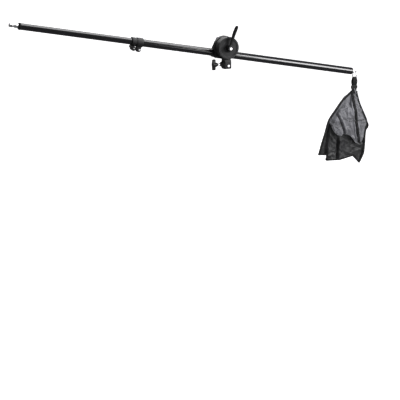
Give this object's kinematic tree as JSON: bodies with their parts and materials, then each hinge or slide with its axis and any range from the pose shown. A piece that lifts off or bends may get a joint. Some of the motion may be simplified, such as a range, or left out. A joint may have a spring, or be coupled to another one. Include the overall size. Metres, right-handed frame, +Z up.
{
  "type": "overhead boom arm",
  "caption": "Telescoping overhead boom arm with a tilting clamp head on a stand socket, a lamp stud at the front end and an empty counterweight bag on a spring hook at the rear end.",
  "frame": {"origin": "centre of the mouth of the stand socket, on the flat underside of the socket casting", "axes": "+Z up along the socket; +X level towards the counterweight bag; -X towards the lamp stud; -Y towards the clamping lever; the boom runs 40 mm behind the socket and hangs 10.5 degrees lower at its bag end"},
  "size_m": [1.6522, 0.1363, 0.7189],
  "materials": {
    "cast_black": "satin",
    "tube_black": "gloss",
    "plastic_black": "satin",
    "pad_black": "matte",
    "chrome": "polished",
    "bronze": "satin",
    "nylon_cloth": "matte",
    "webbing": "matte"
  },
  "bodies": {
    "socket": {"receiver": "cast_black", "pivot_bush": "bronze", "stud_set_screw": "chrome"},
    "knob": {"socket_knob": "plastic_black", "socket_knob_screw": "chrome"},
    "head": {"front_disc": "cast_black", "front_pad": "pad_black", "rear_pad": "pad_black", "middle_jaw": "cast_black", "rear_jaw": "cast_black", "clamp_bolt": "chrome", "bolt_washer": "chrome", "jaw_spring": "chrome"},
    "lever_core": {"lever_insert": "bronze", "lever_screw": "chrome", "lever_spring": "chrome"},
    "lever": {"lever_handle": "plastic_black"},
    "outer_boom": {"outer_tube": "tube_black", "collar_body": "cast_black", "sleeve_screw": "chrome", "sleeve_nut": "chrome", "collar_nut": "chrome", "rear_cap": "plastic_black", "eye_bolt": "chrome"},
    "inner_boom": {"inner_tube": "tube_black", "inner_guide": "plastic_black", "front_plug": "plastic_black", "front_stud": "chrome"},
    "thumb_lever": {"collar_lever": "plastic_black", "collar_screw": "chrome"},
    "hook": {"hook_body": "chrome", "gate_pin": "chrome"},
    "gate": {"hook_gate": "chrome"},
    "bag": {"strap": "webbing", "strap_slider": "plastic_black", "rear_pouch": "nylon_cloth", "front_pouch": "nylon_cloth", "front_webbing": "webbing", "front_zip": "webbing", "zip_pull": "chrome", "side_loop": "webbing"}
  },
  "joints": [
    {"name": "boom_tilt", "type": "hinge", "parent": "socket", "child": "head", "pos_m": [0, 0, 0.088], "axis": [0, 1, 0], "range_deg": [-100, 79]},
    {"name": "boom_slide", "type": "slide", "parent": "head", "child": "outer_boom", "axis": [0.9833, 0, -0.1822], "range_m": [-0.45, 0.31]},
    {"name": "inner_slide", "type": "slide", "parent": "outer_boom", "child": "inner_boom", "axis": [0.9833, 0, -0.1822], "range_m": [-0.4, 0.46]},
    {"name": "lever_turn", "type": "hinge", "parent": "head", "child": "lever_core", "pos_m": [0, 0, 0.088], "axis": [0, 1, 0], "range_deg": [-90, 90]},
    {"name": "lever_lift", "type": "slide", "parent": "lever_core", "child": "lever", "axis": [0, -1, 0], "range_m": [0, 0.003], "stiffness_N_per_m": 800, "springref_m": -0.003, "deforming": ["lever_spring"]},
    {"name": "knob_turn", "type": "hinge", "parent": "socket", "child": "knob", "pos_m": [-0.05, 0, 0.019], "axis": [-1, 0, 0], "continuous": true},
    {"name": "thumb_lever_turn", "type": "hinge", "parent": "outer_boom", "child": "thumb_lever", "pos_m": [-0.40242, 0.04, 0.10512], "axis": [0, 1, 0], "range_deg": [-150, 0]},
    {"name": "hook_swing", "type": "hinge", "parent": "outer_boom", "child": "hook", "pos_m": [0.65725, 0.04, -0.06483], "axis": [0, 1, 0], "range_deg": [-100, 25]},
    {"name": "gate_open", "type": "hinge", "parent": "hook", "child": "gate", "pos_m": [0.66622, 0.04, -0.07839], "axis": [0, 1, 0], "range_deg": [-25, 0], "stiffness_Nm_per_rad": 0.02, "springref_deg": 20.05},
    {"name": "bag_swing", "type": "hinge", "parent": "hook", "child": "bag", "pos_m": [0.65725, 0.04, -0.09403], "axis": [1, 0, 0], "range_deg": [-60, 60]}
  ]
}
